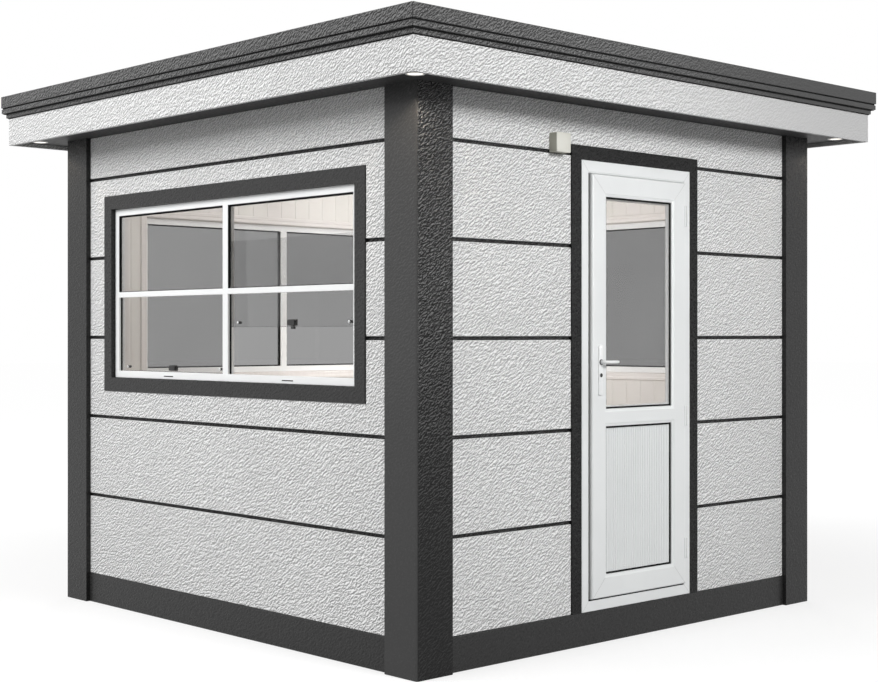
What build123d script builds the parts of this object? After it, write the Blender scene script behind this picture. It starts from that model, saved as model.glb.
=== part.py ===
"""Modular cabin: a square hut with corner posts, clad walls, a stepped roof edge, windows and a door.

Millimetres, +Z up. The door is in the front wall, towards -Y, and +X is to the right of it.
The origin is on the ground, in the middle of the footprint.
"""
import os
from collections import namedtuple
from math import ceil
from build123d import *

os.makedirs("parts", exist_ok=True)

# Body, measured over the corner posts
body_width = 2700
body_depth = 2700
plinth_height = 146
wall_over_door = 174

# Layers of a wall, inward from the face of the posts
cladding_recess = 24
cladding_thickness = 12
core_thickness = 68
lining_thickness = 12
plinth_recess = 18

# Corner posts and floor
post_width = 194
post_edge_radius = 9
floor_thickness = 100

# Courses of the cladding
course_pitch = 400
groove_width = 16

# Roof
soffit_thickness = 12
roof_overhang = 215
fascia_thickness = 20
fascia_drop = 19
fascia_height = 138
coping_width = 150
coping_heights = (24, 28, 62)
coping_projections = (11, 28, 30)
roof_edge_height = 20
roof_rise = 64
roof_crown_width = 320
downlight_diameter = 80
downlight_drop = 5
downlight_place_share = 0.46

# Windows on three sides, centred between the posts and set down from the soffit
trim_proud = 6
window_margin = 143
window_head_drop = 307
window_trim_bottom = 1078
window_trim_band = 68
window_recess = 24
window_frame_depth = 36
window_frame_band = 34
mullion_width = 42
transom_height = 27
transom_depth = 16
transom_place_share = 0.49
pane_thickness = 6
pane_setback = 12
sash_clearance = 4
sash_overlap = 14
sash_raise_share = 0.278
latch_width = 44
latch_height = 24
latch_depth = 14

# Door frame and leaf
door_offset = 16
door_trim_band = 63
door_frame_recess = 16
door_frame_depth = 70
door_frame_band = 43.5
door_sill_band = 46
door_head_band = 49
door_gap = 8
stop_width = 22
stop_clearance = 6
leaf_width = 655
leaf_height = 1867
leaf_thickness = 50
leaf_proud = 16
stile_width = 104
top_rail = 104
mid_rail = 91
bottom_rail = 108
lower_panel_height = 640
door_glass_thickness = 20
door_panel_thickness = 24

# Door furniture
spindle_height = 1040
spindle_diameter = 9
spindle_clearance = 0.5
spindle_share = 0.466
plate_width = 26
plate_height = 222
plate_thickness = 8
plate_drop = 36
lever_length = 87
lever_thickness = 14
lever_standoff = 30
neck_diameter = 18
neck_clearance = 1
hinge_diameter = 9
hinge_height = 96
hinge_flap_width = 8
hinge_flap_thickness = 4
hinge_split_gap = 0.3
hinge_standoff = 1
hinge_place_shares = (0.09, 0.42, 0.9175)

# Junction box on the front wall, beside the door
box_width = 88
box_height = 85
box_depth = 45
box_drop = 136
box_gap = 50

# A side of the cabin: along runs left to right as seen from outside, outward points away from the room
Side = namedtuple("Side", "along outward half_run half_out")
FRONT = Side(Vector(1, 0, 0), Vector(0, -1, 0), body_width / 2, body_depth / 2)
BACK = Side(Vector(-1, 0, 0), Vector(0, 1, 0), body_width / 2, body_depth / 2)
LEFT = Side(Vector(0, -1, 0), Vector(-1, 0, 0), body_depth / 2, body_width / 2)
RIGHT = Side(Vector(0, 1, 0), Vector(1, 0, 0), body_depth / 2, body_width / 2)
SIDES = {"front": FRONT, "back": BACK, "left": LEFT, "right": RIGHT}
WINDOW_SIDES = ("left", "back", "right")
SASH_SIDE = "left"
ENDS = (-1, 1)

# Depths from the post face
core_face = cladding_recess + cladding_thickness
core_back = core_face + core_thickness
lining_back = core_back + lining_thickness
trim_face = cladding_recess - trim_proud
frame_face = trim_face + window_recess
leaf_face = door_frame_recess - leaf_proud
leaf_back = leaf_face + leaf_thickness
door_frame_back = door_frame_recess + door_frame_depth

# Levels from the ground: the door's height sets the soffit's
leaf_bottom = plinth_height + door_sill_band + door_gap
leaf_top = leaf_bottom + leaf_height
door_frame_top = leaf_top + door_gap + door_head_band
door_trim_top = door_frame_top + door_trim_band
soffit_height = door_trim_top + wall_over_door
deck_bottom = soffit_height + soffit_thickness
fascia_bottom = soffit_height - fascia_drop
fascia_top = fascia_bottom + fascia_height
coping_top = fascia_top + sum(coping_heights)

# Window spans: trim, frame and clear opening
trim_rise = (window_trim_bottom, soffit_height - window_head_drop)
frame_rise = (trim_rise[0] + window_trim_band, trim_rise[1] - window_trim_band)
clear_rise = (frame_rise[0] + window_frame_band, frame_rise[1] - window_frame_band)
clear_height = clear_rise[1] - clear_rise[0]
transom_middle = clear_rise[0] + clear_height * transom_place_share
transom_rise = (transom_middle - transom_height / 2, transom_middle + transom_height / 2)

# Door spans along the front wall
leaf_run = (door_offset - leaf_width / 2, door_offset + leaf_width / 2)
passage_run = (leaf_run[0] - door_gap, leaf_run[1] + door_gap)
door_frame_run = (passage_run[0] - door_frame_band, passage_run[1] + door_frame_band)
door_trim_run = (door_frame_run[0] - door_trim_band, door_frame_run[1] + door_trim_band)
door_frame_rise = (plinth_height, door_frame_top)


def window_trim_half(side):
    """Half the width of a window over its trim."""
    return side.half_run - post_width - window_margin


def window_frame_run(side):
    """The span of a window's frame, inside its trim."""
    half = window_trim_half(side) - window_trim_band
    return (-half, half)


def window_bay_runs(side):
    """The clear spans on both sides of a window's mullion."""
    half = window_trim_half(side) - window_trim_band - window_frame_band
    return ((-half, -mullion_width / 2), (mullion_width / 2, half))


def wall_box(side, run, depth, rise, mode=Mode.ADD):
    """A box from its span along a side, inward from its post face, and upward."""
    first = side.along * run[0] + side.outward * (side.half_out - depth[0]) + Vector(0, 0, rise[0])
    last = side.along * run[1] + side.outward * (side.half_out - depth[1]) + Vector(0, 0, rise[1])
    size = last - first
    with Locations((first + last) / 2):
        Box(abs(size.X), abs(size.Y), abs(size.Z), mode=mode)


def wall_rod(side, place, depth, height, radius, mode=Mode.ADD):
    """A round rod through a wall, square to it."""
    middle = side.along * place + side.outward * (side.half_out - (depth[0] + depth[1]) / 2)
    with Locations(Plane(origin=middle + Vector(0, 0, height), z_dir=side.outward)):
        Cylinder(radius, depth[1] - depth[0], mode=mode)


def mitred_run(side, profile):
    """A run along a side, with its profile outward from the post face and upward, mitred at both ends."""
    section = Plane(
        origin=side.outward * side.half_out,
        x_dir=side.outward,
        z_dir=side.outward.cross(Vector(0, 0, 1)),
    )
    reach = max(point[0] for point in profile)
    with BuildPart() as run:
        with BuildSketch(section):
            with BuildLine():
                Polyline(*profile, close=True)
            make_face()
        extrude(amount=side.half_run + reach, both=True)
        for end in ENDS:
            corner = side.along * (end * side.half_run) + side.outward * side.half_out
            split(bisect_by=Plane(origin=corner, z_dir=side.outward - side.along * end))
    return run


def save(piece, name):
    """Label a finished piece and write it under its own name."""
    piece.part.label = name
    export_step(piece.part, f"parts/{name}.step")


# Corner posts: an angle that wraps the corner of the walls, with its outer edge rounded
for back_or_front, y_sign in (("front", -1), ("back", 1)):
    for left_or_right, x_sign in (("left", -1), ("right", 1)):
        outer_x = x_sign * body_width / 2
        outer_y = y_sign * body_depth / 2
        leg_x = outer_x - x_sign * post_width
        leg_y = outer_y - y_sign * post_width
        inner_x = outer_x - x_sign * core_face
        inner_y = outer_y - y_sign * core_face
        with BuildPart() as post:
            with BuildSketch(Plane.XY):
                with BuildLine():
                    Polyline(
                        (outer_x, outer_y),
                        (leg_x, outer_y),
                        (leg_x, inner_y),
                        (inner_x, inner_y),
                        (inner_x, leg_y),
                        (outer_x, leg_y),
                        close=True,
                    )
                make_face()
            extrude(amount=soffit_height)
            corner_edge = post.edges().filter_by(Axis.Z).sort_by_distance((0, 0, 0))[-1]
            fillet(corner_edge, radius=post_edge_radius)
        save(post, f"{back_or_front}_{left_or_right}_post")

# Plinth: a base beam under each wall, with a band that fills the space between the posts
for side_name, side in SIDES.items():
    beam_half = side.half_run - (core_face if side in (FRONT, BACK) else core_back)
    band_half = side.half_run - post_width
    with BuildPart() as plinth:
        wall_box(side, (-beam_half, beam_half), (core_face, core_back), (0, plinth_height))
        wall_box(side, (-band_half, band_half), (plinth_recess, core_face), (0, plinth_height))
    save(plinth, f"{side_name}_plinth")

# Floor: a panel between the base beams, level with their tops
floor_half = FRONT.half_run - core_back
with BuildPart() as floor_panel:
    wall_box(
        FRONT,
        (-floor_half, floor_half),
        (core_back, body_depth - core_back),
        (plinth_height - floor_thickness, plinth_height),
    )
save(floor_panel, "floor_panel")

# Wall panels: the front one is in three pieces round the doorway, the others have a window cut through
wall_rise = (plinth_height, deck_bottom)
front_half = FRONT.half_run - core_face
front_panels = {
    "front_wall_left": ((-front_half, door_frame_run[0]), wall_rise),
    "front_wall_right": ((door_frame_run[1], front_half), wall_rise),
    "front_wall_over_door": (door_frame_run, (door_frame_top, deck_bottom)),
}
for panel_name, (panel_run, panel_rise) in front_panels.items():
    with BuildPart() as wall_panel:
        wall_box(FRONT, panel_run, (core_face, core_back), panel_rise)
    save(wall_panel, panel_name)

for side_name in WINDOW_SIDES:
    side = SIDES[side_name]
    wall_half = side.half_run - (core_face if side is BACK else core_back)
    with BuildPart() as wall_panel:
        wall_box(side, (-wall_half, wall_half), (core_face, core_back), wall_rise)
        wall_box(side, window_frame_run(side), (core_face, core_back), frame_rise, Mode.SUBTRACT)
    save(wall_panel, f"{side_name}_wall")

# Cladding: courses between the posts, parted by grooves and cut round the trims
course_count = ceil((soffit_height - plinth_height - groove_width / 2) / course_pitch)
for side_name, side in SIDES.items():
    course_half = side.half_run - post_width
    cladding_depth = (cladding_recess, core_face)
    with BuildPart() as cladding:
        for course in range(course_count):
            low = plinth_height + course * course_pitch
            high = low + course_pitch
            course_low = low if course == 0 else low + groove_width / 2
            course_high = min(high - groove_width / 2, soffit_height)
            wall_box(side, (-course_half, course_half), cladding_depth, (course_low, course_high))
        if side_name in WINDOW_SIDES:
            trim_half = window_trim_half(side)
            wall_box(side, (-trim_half, trim_half), cladding_depth, trim_rise, Mode.SUBTRACT)
        else:
            wall_box(side, door_trim_run, cladding_depth, (plinth_height, door_trim_top), Mode.SUBTRACT)
    save(cladding, f"{side_name}_cladding")

# Lining: one pale skin over the inside of the walls and the ceiling
room_half = FRONT.half_run - lining_back
with BuildPart() as lining:
    wall_box(FRONT, (-floor_half, floor_half), (core_back, body_depth - core_back), wall_rise)
    wall_box(
        FRONT,
        (-room_half, room_half),
        (lining_back, body_depth - lining_back),
        (plinth_height, deck_bottom - lining_thickness),
        Mode.SUBTRACT,
    )
    wall_box(FRONT, door_frame_run, (core_back, lining_back), door_frame_rise, Mode.SUBTRACT)
    for side_name in WINDOW_SIDES:
        side = SIDES[side_name]
        wall_box(side, window_frame_run(side), (core_back, lining_back), frame_rise, Mode.SUBTRACT)
save(lining, "interior_lining")

# Roof: deck, soffit under the overhang, mitred fascia and coping, and a low hipped panel
eave_half_x = body_width / 2 + roof_overhang - fascia_thickness
eave_half_y = body_depth / 2 + roof_overhang - fascia_thickness
with BuildPart() as roof_deck:
    with BuildSketch(Plane.XY.offset(deck_bottom)):
        Rectangle(eave_half_x * 2, eave_half_y * 2)
    extrude(amount=fascia_top - deck_bottom)
save(roof_deck, "roof_deck")

with BuildPart() as soffit:
    with BuildSketch(Plane.XY.offset(soffit_height)):
        Rectangle(eave_half_x * 2, eave_half_y * 2)
        Rectangle(body_width - core_face * 2, body_depth - core_face * 2, mode=Mode.SUBTRACT)
    extrude(amount=soffit_thickness)
save(soffit, "soffit")

fascia_back = roof_overhang - fascia_thickness
fascia_profile = (
    (fascia_back, fascia_bottom),
    (roof_overhang, fascia_bottom),
    (roof_overhang, fascia_top),
    (fascia_back, fascia_top),
)
coping_back = roof_overhang - coping_width
coping_profile = [(coping_back, fascia_top)]
band_bottom = fascia_top
for band_height, band_projection in zip(coping_heights, coping_projections):
    coping_profile.append((roof_overhang + band_projection, band_bottom))
    band_bottom = band_bottom + band_height
    coping_profile.append((roof_overhang + band_projection, band_bottom))
coping_profile.append((coping_back, coping_top))
for side_name, side in SIDES.items():
    save(mitred_run(side, fascia_profile), f"{side_name}_fascia")
    save(mitred_run(side, coping_profile), f"{side_name}_coping")

roof_width = body_width + coping_back * 2
roof_depth = body_depth + coping_back * 2
with BuildPart() as roof_panel:
    with BuildSketch(Plane.XY.offset(fascia_top)):
        Rectangle(roof_width, roof_depth)
    extrude(amount=roof_edge_height)
    with BuildSketch(Plane.XY.offset(fascia_top + roof_edge_height)):
        Rectangle(roof_width, roof_depth)
    with BuildSketch(Plane.XY.offset(fascia_top + roof_edge_height + roof_rise)):
        Rectangle(roof_crown_width, roof_crown_width)
    loft()
save(roof_panel, "roof_panel")

# Downlights: round fittings under the corners of the soffit
light_reach = roof_overhang * downlight_place_share
with BuildPart() as downlights:
    with BuildSketch(Plane.XY.offset(soffit_height)):
        with GridLocations(body_width + light_reach * 2, body_depth + light_reach * 2, len(ENDS), len(ENDS)):
            Circle(downlight_diameter / 2)
    extrude(amount=-downlight_drop)
save(downlights, "downlights")

# Window trims: flat frames on the wall panels, round the openings
with BuildPart() as window_trims:
    for side_name in WINDOW_SIDES:
        side = SIDES[side_name]
        trim_half = window_trim_half(side)
        wall_box(side, (-trim_half, trim_half), (trim_face, core_face), trim_rise)
        wall_box(side, window_frame_run(side), (trim_face, core_face), frame_rise, Mode.SUBTRACT)
save(window_trims, "window_trims")

# Windows: frames with a mullion. The sash window has a transom, with fixed panes over it and sliding panes
# under it. The others have one fixed pane in each bay.
sash_face = frame_face + transom_depth + sash_clearance
sash_back = sash_face + pane_thickness
pane_face = frame_face + pane_setback
frame_depth_span = (frame_face, frame_face + window_frame_depth)
sash_height = transom_middle + sash_overlap - clear_rise[0]
sash_raise = clear_height * sash_raise_share
sash_lifts = (0, sash_raise)
transom_span = (frame_face, frame_face + transom_depth)

for side_name in WINDOW_SIDES:
    side = SIDES[side_name]
    with BuildPart() as window_frame:
        wall_box(side, window_frame_run(side), frame_depth_span, frame_rise)
        for bay_run in window_bay_runs(side):
            wall_box(side, bay_run, frame_depth_span, clear_rise, Mode.SUBTRACT)
            if side_name == SASH_SIDE:
                wall_box(side, bay_run, transom_span, transom_rise)
    save(window_frame, f"{side_name}_window_frame")

    with BuildPart() as window_glass:
        for bay_run, lift in zip(window_bay_runs(side), sash_lifts):
            if side_name == SASH_SIDE:
                upper_rise = (transom_rise[1], clear_rise[1])
                sash_low = clear_rise[0] + lift
                wall_box(side, bay_run, (pane_face, pane_face + pane_thickness), upper_rise)
                wall_box(side, bay_run, (sash_face, sash_back), (sash_low, sash_low + sash_height))
            else:
                wall_box(side, bay_run, (sash_face, sash_back), clear_rise)
    save(window_glass, f"{side_name}_window_glass")

# Sash latches: one inside each sliding pane, in the middle of its lower edge
with BuildPart() as sash_latches:
    side = SIDES[SASH_SIDE]
    for bay_run, lift in zip(window_bay_runs(side), sash_lifts):
        bay_middle = (bay_run[0] + bay_run[1]) / 2
        latch_run = (bay_middle - latch_width / 2, bay_middle + latch_width / 2)
        latch_low = clear_rise[0] + lift
        latch_span = (sash_back, sash_back + latch_depth)
        wall_box(side, latch_run, latch_span, (latch_low, latch_low + latch_height))
save(sash_latches, "sash_latches")

# Door trim: flat bands on both sides of the door frame and over it
with BuildPart() as door_trim:
    wall_box(FRONT, door_trim_run, (trim_face, core_face), (plinth_height, door_trim_top))
    wall_box(FRONT, door_frame_run, (trim_face, core_face), door_frame_rise, Mode.SUBTRACT)
save(door_trim, "door_trim")

# Door frame: a ring with a stop behind the leaf
passage_rise = (leaf_bottom - door_gap, leaf_top + door_gap)
stop_face = leaf_back + stop_clearance
with BuildPart() as door_frame:
    wall_box(FRONT, door_frame_run, (door_frame_recess, door_frame_back), door_frame_rise)
    wall_box(FRONT, passage_run, (door_frame_recess, stop_face), passage_rise, Mode.SUBTRACT)
    wall_box(
        FRONT,
        (passage_run[0] + stop_width, passage_run[1] - stop_width),
        (stop_face, door_frame_back),
        (passage_rise[0] + stop_width, passage_rise[1] - stop_width),
        Mode.SUBTRACT,
    )
save(door_frame, "door_frame")

# Door leaf: stiles and rails round a glazed upper part and a solid lower part
infill_run = (leaf_run[0] + stile_width, leaf_run[1] - stile_width)
lower_rise = (leaf_bottom + bottom_rail, leaf_bottom + bottom_rail + lower_panel_height)
upper_rise = (lower_rise[1] + mid_rail, leaf_top - top_rail)
spindle_place = leaf_run[0] + stile_width * spindle_share
spindle_level = leaf_bottom + spindle_height
spindle_hole_radius = spindle_diameter / 2 + spindle_clearance
leaf_middle = (leaf_face + leaf_back) / 2
with BuildPart() as door_leaf:
    wall_box(FRONT, leaf_run, (leaf_face, leaf_back), (leaf_bottom, leaf_top))
    for infill_rise in (lower_rise, upper_rise):
        wall_box(FRONT, infill_run, (leaf_face, leaf_back), infill_rise, Mode.SUBTRACT)
    wall_rod(FRONT, spindle_place, (leaf_face, leaf_back), spindle_level, spindle_hole_radius, Mode.SUBTRACT)
save(door_leaf, "door_leaf")

infills = {
    "door_glass": (door_glass_thickness, upper_rise),
    "door_panel": (door_panel_thickness, lower_rise),
}
for infill_name, (infill_thickness, infill_rise) in infills.items():
    infill_span = (leaf_middle - infill_thickness / 2, leaf_middle + infill_thickness / 2)
    with BuildPart() as infill:
        wall_box(FRONT, infill_run, infill_span, infill_rise)
    save(infill, infill_name)

# Handle plates: one on each face of the leaf, with a hole for the spindle
plate_run = (spindle_place - plate_width / 2, spindle_place + plate_width / 2)
plate_middle = spindle_level - plate_drop
plate_rise = (plate_middle - plate_height / 2, plate_middle + plate_height / 2)
plate_spans = ((leaf_face - plate_thickness, leaf_face), (leaf_back, leaf_back + plate_thickness))
with BuildPart() as handle_plates:
    for plate_span in plate_spans:
        wall_box(FRONT, plate_run, plate_span, plate_rise)
        wall_rod(FRONT, spindle_place, plate_span, spindle_level, spindle_hole_radius, Mode.SUBTRACT)
save(handle_plates, "handle_plates")

# Lever handles: two grips on one spindle, pointing towards the hinges
outer_plate = leaf_face - plate_thickness
inner_plate = leaf_back + plate_thickness
outer_grip = outer_plate - lever_standoff
inner_grip = inner_plate + lever_standoff
grip_run = (spindle_place - neck_diameter / 2, spindle_place + lever_length)
grip_rise = (spindle_level - lever_thickness / 2, spindle_level + lever_thickness / 2)
neck_spans = ((outer_grip, outer_plate - neck_clearance), (inner_plate + neck_clearance, inner_grip))
with BuildPart() as lever_handles:
    wall_rod(FRONT, spindle_place, (outer_grip, inner_grip), spindle_level, spindle_diameter / 2)
    for neck_span in neck_spans:
        wall_rod(FRONT, spindle_place, neck_span, spindle_level, neck_diameter / 2)
    for grip_middle in (outer_grip, inner_grip):
        grip_span = (grip_middle - lever_thickness / 2, grip_middle + lever_thickness / 2)
        wall_box(FRONT, grip_run, grip_span, grip_rise)
save(lever_handles, "lever_handles")

# Hinges: each has an upper barrel with a flap on the leaf and a lower barrel with a block on the frame
hinge_radius = hinge_diameter / 2
hinge_place = leaf_run[1] + door_gap / 2
hinge_depth = leaf_face - hinge_radius - hinge_standoff
hinge_levels = [leaf_bottom + leaf_height * share for share in hinge_place_shares]
barrel_height = (hinge_height - hinge_split_gap) / 2


def hinge_barrel(rise):
    """An upright barrel on the hinge axis."""
    middle = FRONT.along * hinge_place + FRONT.outward * (FRONT.half_out - hinge_depth)
    with Locations(middle + Vector(0, 0, (rise[0] + rise[1]) / 2)):
        Cylinder(hinge_radius, rise[1] - rise[0])


with BuildPart() as leaf_hinges:
    for level in hinge_levels:
        upper_half = (level + hinge_split_gap / 2, level + hinge_split_gap / 2 + barrel_height)
        hinge_barrel(upper_half)
        wall_box(
            FRONT,
            (leaf_run[1] - hinge_flap_width, hinge_place),
            (leaf_face - hinge_flap_thickness, leaf_face),
            upper_half,
        )
save(leaf_hinges, "door_hinges_leaf")

with BuildPart() as frame_hinges:
    for level in hinge_levels:
        lower_half = (level - hinge_split_gap / 2 - barrel_height, level - hinge_split_gap / 2)
        hinge_barrel(lower_half)
        wall_box(
            FRONT,
            (hinge_place, leaf_run[1] + door_gap + hinge_flap_width),
            (leaf_face - hinge_flap_thickness, door_frame_recess),
            lower_half,
        )
save(frame_hinges, "door_hinges_frame")

# Small junction box on the cladding, beside the top of the door
box_run = (door_trim_run[0] - box_gap - box_width, door_trim_run[0] - box_gap)
box_top = soffit_height - box_drop
with BuildPart() as junction_box:
    wall_box(FRONT, box_run, (cladding_recess - box_depth, cladding_recess), (box_top - box_height, box_top))
save(junction_box, "junction_box")
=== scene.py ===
"""Looks of the modular cabin: finishes, fine parts, light and the view."""

import math
import random
from collections import namedtuple

import bmesh
import bpy
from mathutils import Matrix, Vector


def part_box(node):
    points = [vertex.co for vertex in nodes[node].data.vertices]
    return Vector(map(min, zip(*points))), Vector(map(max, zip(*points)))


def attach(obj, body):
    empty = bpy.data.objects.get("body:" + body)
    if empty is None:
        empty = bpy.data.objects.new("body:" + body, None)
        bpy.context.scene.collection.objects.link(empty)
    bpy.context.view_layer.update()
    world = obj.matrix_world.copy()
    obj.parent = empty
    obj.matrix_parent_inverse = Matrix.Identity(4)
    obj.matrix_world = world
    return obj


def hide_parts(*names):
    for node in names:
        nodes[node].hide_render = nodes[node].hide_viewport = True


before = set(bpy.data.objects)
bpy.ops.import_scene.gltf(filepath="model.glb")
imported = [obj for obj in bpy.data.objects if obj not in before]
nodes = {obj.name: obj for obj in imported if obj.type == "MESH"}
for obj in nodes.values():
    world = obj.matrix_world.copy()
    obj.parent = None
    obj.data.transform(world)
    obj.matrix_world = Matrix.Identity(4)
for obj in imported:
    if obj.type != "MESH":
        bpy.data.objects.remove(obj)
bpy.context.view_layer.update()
rng = random.Random(7)

# Sizes in metres. A depth is measured inward from the outer face of the corner posts.
Side = namedtuple("Side", "name along outward")
FRONT = Side("front", Vector((1, 0, 0)), Vector((0, -1, 0)))
BACK = Side("back", Vector((-1, 0, 0)), Vector((0, 1, 0)))
LEFT = Side("left", Vector((0, -1, 0)), Vector((-1, 0, 0)))
RIGHT = Side("right", Vector((0, 1, 0)), Vector((1, 0, 0)))
SIDES = (FRONT, BACK, LEFT, RIGHT)
WINDOW_SIDES = (LEFT, BACK, RIGHT)
UP = Vector((0, 0, 1))

body_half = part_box("front_right_post")[1].x
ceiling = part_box("soffit")[0].z
floor_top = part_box("floor_panel")[1].z
room_half = 1.234
lining_face = body_half - room_half

Rect = namedtuple("Rect", "left right low high")


def grown(rect, by):
    return Rect(rect.left - by, rect.right + by, rect.low - by, rect.high + by)


WINDOW_FRAME = Rect(-0.945, 0.945, 1.146, 1.986)
WINDOW_CLEAR = Rect(-0.911, 0.911, 1.180, 1.952)
MULLION_HALF = 0.021
TRANSOM_LOW, TRANSOM_HIGH = 1.5448, 1.5718
BAYS = ((WINDOW_CLEAR.left, -MULLION_HALF), (MULLION_HALF, WINDOW_CLEAR.right))
FRAME_FACE, FIXED_FACE, SASH_FACE, SASH_BACK, FRAME_BACK = 0.042, 0.054, 0.062, 0.068, 0.078
SASH_RAISE = 0.2146

DOOR_FRAME = Rect(-0.363, 0.395, 0.146, 2.124)
LEAF = Rect(-0.3115, 0.3435, 0.200, 2.067)
PASSAGE = Rect(-0.3195, 0.3515, 0.192, 2.075)
FRAME_RECESS, CASING_CLEAR = 0.016, 0.061
LEAF_BACK = 0.050
GLASS_HOLE = Rect(-0.2075, 0.2395, 1.039, 1.963)
PANEL_HOLE = Rect(-0.2075, 0.2395, 0.308, 0.948)
GLASS_FACE, BEAD_BACK = 0.015, 0.038
plate_low, plate_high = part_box("handle_plates")
PLATE = Rect(plate_low.x, plate_high.x, plate_low.z, plate_high.z)
PLATE_THICK = -body_half - plate_low.y
SPINDLE_RUN, SPINDLE_RISE = (PLATE.left + PLATE.right) / 2, 1.240
LEVER_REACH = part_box("lever_handles")[1].x - SPINDLE_RUN
LEVER_OUT = 0.038


def at(side, run, depth, rise):
    """A point on a wall, from its place along the wall, its depth and its height."""
    return side.along * run + side.outward * (body_half - depth) + UP * rise


# Materials


class Nodes:
    """A material's node tree with short calls for the nodes used here."""

    def __init__(self, name):
        self.material = bpy.data.materials.new(name)
        self.material.use_nodes = True
        self.tree = self.material.node_tree
        self.tree.nodes.clear()
        self.output = self.add("ShaderNodeOutputMaterial")

    def add(self, kind, inputs=None, **settings):
        node = self.tree.nodes.new(kind)
        for key, value in settings.items():
            setattr(node, key, value)
        for key, value in (inputs or {}).items():
            self.put(node, key, value)
        return node

    def put(self, node, key, value):
        if isinstance(value, bpy.types.NodeSocket):
            self.tree.links.new(value, node.inputs[key])
        else:
            node.inputs[key].default_value = value

    def math(self, operation, a, b=0.0):
        return self.add("ShaderNodeMath", {0: a, 1: b}, operation=operation).outputs[0]

    def noise(self, vector, scale, detail=2.0, roughness=0.5, distortion=0.0):
        inputs = {"Vector": vector, "Scale": scale, "Detail": detail, "Roughness": roughness}
        inputs["Distortion"] = distortion
        return self.add("ShaderNodeTexNoise", inputs).outputs["Fac"]

    def spread(self, value, low, high, to_low=0.0, to_high=1.0):
        inputs = {"Value": value, 1: low, 2: high, 3: to_low, 4: to_high}
        node = self.add("ShaderNodeMapRange", inputs, interpolation_type="SMOOTHSTEP")
        return node.outputs["Result"]

    def blend(self, factor, first, second):
        node = self.add("ShaderNodeMix", data_type="RGBA")
        self.put(node, 0, factor)
        self.put(node, 6, first)
        self.put(node, 7, second)
        return node.outputs[2]

    def bump(self, height, distance):
        inputs = {"Height": height, "Distance": distance, "Strength": 1.0}
        return self.add("ShaderNodeBump", inputs).outputs["Normal"]

    def place(self):
        return self.add("ShaderNodeTexCoord").outputs["Object"]

    def stretched(self, vector, scale):
        return self.add("ShaderNodeVectorMath", {0: vector, 1: scale}, operation="MULTIPLY").outputs[0]

    def surface(self, inputs):
        shader = self.add("ShaderNodeBsdfPrincipled", inputs)
        self.tree.links.new(shader.outputs[0], self.output.inputs["Surface"])
        return self.material


def grey(level, warm=0.0):
    return (level * (1 + warm), level, level * (1 - warm), 1)


def true_normal(n):
    """The three parts of the direction a face points in, before any bump."""
    normal = n.add("ShaderNodeNewGeometry").outputs["True Normal"]
    return n.add("ShaderNodeSeparateXYZ", {0: normal}).outputs


def face_plane(n):
    """Coordinates in the plane of the face, the first level and the second upright."""
    x, y, z = n.add("ShaderNodeSeparateXYZ", {0: n.place()}).outputs
    nx, ny, nz = true_normal(n)
    lying = n.math("ABSOLUTE", nz)
    level = n.math("SUBTRACT", n.math("MULTIPLY", y, nx), n.math("MULTIPLY", x, ny))
    level = n.math("ADD", level, n.math("MULTIPLY", x, lying))
    upright = n.math("MULTIPLY", z, n.math("SUBTRACT", 1.0, lying))
    upright = n.math("ADD", upright, n.math("MULTIPLY", y, lying))
    depth = n.math("MULTIPLY", n.math("ADD", x, y), 0.37)
    return n.add("ShaderNodeCombineXYZ", {0: level, 1: upright, 2: depth}).outputs[0]


STROKE_SIZE, STROKE_TILT = (0.0162, 0.0076, 1.0), 32
# Step between two readings of the strokes, and the band of their difference, that set the painted light
# and shade on the flanks.
FLANK_STEP, FLANK_BAND = 0.0038, 0.13
STROKE_SHARE, LUMP_SCALE = 0.8, 75.0
GRAIN_SHARE, GRAIN_SCALE = 0.04, 420.0
WORN_SHARE, DUST_ROUGHNESS = 0.95, 0.40


def trowel_strokes(n, plane, shift=0.0):
    """Short strokes that rise to the right, read further up by the shift, square to their length."""
    tilt = math.radians(STROKE_TILT)
    place = {"Vector": plane, "Rotation": (0, 0, tilt), "Scale": STROKE_SIZE}
    place["Location"] = (math.sin(tilt) * shift, -math.cos(tilt) * shift, 0)
    mapped = n.add("ShaderNodeMapping", place, vector_type="TEXTURE").outputs[0]
    return n.noise(mapped, 1.0, 1.0, 0.5, 0.5)


TO_THE_LEFT, UPWARD = (-1, 0, 0), (0, 0, 1)
Fade = namedtuple("Fade", "axis low high share low_shade side_share side_shade")


def faded(n, fade, height, colour):
    """Painted flank light and relief, full at the high end of an axis, and less at its low end and on
    side faces.
    """
    pair = {0: n.place(), 1: fade.axis}
    along = n.add("ShaderNodeVectorMath", pair, operation="DOT_PRODUCT").outputs["Value"]
    along = n.spread(along, fade.low, fade.high, fade.share, 1.0)
    sideways = n.math("ABSOLUTE", true_normal(n)[0])
    turned_away = n.spread(sideways, 0.2, 0.8, 1.0, fade.side_share)
    height = n.math("MULTIPLY", n.math("MULTIPLY", height, along), turned_away)
    # Towards the low end and on side faces the colour goes to plain painted shades.
    colour = n.blend(along, grey(fade.low_shade), colour)
    return height, n.blend(turned_away, grey(fade.side_shade), colour)


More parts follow.
